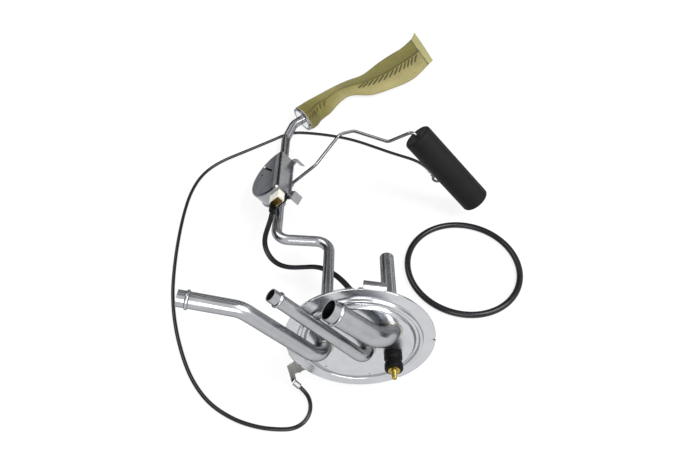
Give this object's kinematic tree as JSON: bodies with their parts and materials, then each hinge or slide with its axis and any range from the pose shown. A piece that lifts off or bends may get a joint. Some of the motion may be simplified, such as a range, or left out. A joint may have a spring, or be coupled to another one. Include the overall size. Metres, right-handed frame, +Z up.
{
  "type": "fuel tank sending unit",
  "caption": "Round tank plate with three hose tubes, a pickup tube with strainer sock, and a resistor sender with a pivoting float arm, ground wire and gasket.",
  "frame": {"origin": "centre of the plate's flat tank seat", "axes": "+Z up from the surface it lies on, +Y from the plate into the tank along the pickup tube; the seat's normal leans 9 degrees below +Y, because the plate lies on its rim"},
  "size_m": [0.2741, 0.4628, 0.102],
  "materials": {
    "plate_steel": "bright plated sheet steel",
    "tube_steel": "plated tube, polished",
    "braze_metal": "thin braze fillets",
    "sender_steel": "plated stamping",
    "pivot_steel": "turned steel",
    "wiper_plastic": "moulded insulator",
    "spring_bronze": "spring bronze",
    "card_board": "phenolic board",
    "resistance_wire": "wound wire",
    "arm_wire_steel": "drawn wire",
    "float_foam": "black closed foam",
    "brass": "bright brass",
    "black_insulator": "moulded black plastic",
    "seal_rubber": "soft rubber",
    "lead_rubber": "dark flat lead",
    "strap_steel": "plated strap",
    "wire_plastic": "glossy wire covering",
    "collar_steel": "bright collar",
    "sock_mesh": "woven nylon mesh"
  },
  "bodies": {
    "root": {"flange_plate": "plate_steel", "supply_pipe": "tube_steel", "return_pipe": "tube_steel", "vent_pipe": "tube_steel", "vent_stub": "tube_steel", "pickup_tube": "tube_steel", "braze_fillets": "braze_metal", "sender_can": "sender_steel", "sender_back_plate": "sender_steel", "tube_saddles": "sender_steel", "saddle_rivets": "sender_steel", "pivot_bush": "pivot_steel", "terminal_block": "wiper_plastic", "resistor_card": "card_board", "resistor_winding": "resistance_wire", "terminal_clip": "brass", "feed_washer": "brass", "feed_stud": "brass", "feed_tag": "brass", "feed_nut": "brass", "feed_spool": "black_insulator", "feed_inner_spool": "black_insulator", "terminal_insulator": "black_insulator", "lead_socket_feed": "black_insulator", "lead_socket_sender": "black_insulator", "feed_seal": "seal_rubber", "lock_ring_gasket": "seal_rubber", "signal_lead": "lead_rubber", "ground_strap": "strap_steel", "ground_crimp": "strap_steel", "ground_eyelet": "strap_steel", "ground_wire": "wire_plastic", "strainer_collar": "collar_steel", "strainer_sock": "sock_mesh"},
    "arm": {"float_arm": "arm_wire_steel", "pivot_shaft": "pivot_steel", "wiper_carrier": "wiper_plastic", "wiper_contact": "spring_bronze", "float_push_nut": "pivot_steel"},
    "float": {"float": "float_foam"}
  },
  "joints": [
    {"name": "float_arm_pivot", "type": "hinge", "parent": "root", "child": "arm", "pos_m": [-0.05992, 0.1541, -0.01894], "axis": [-0.6423, 0.0947, 0.7606], "range_deg": [-45, 43]},
    {"name": "float_spin", "type": "hinge", "parent": "arm", "child": "float", "pos_m": [0.04429, 0.16563, 0.02174], "axis": [0.6895, -0.2524, -0.6788], "continuous": true}
  ]
}
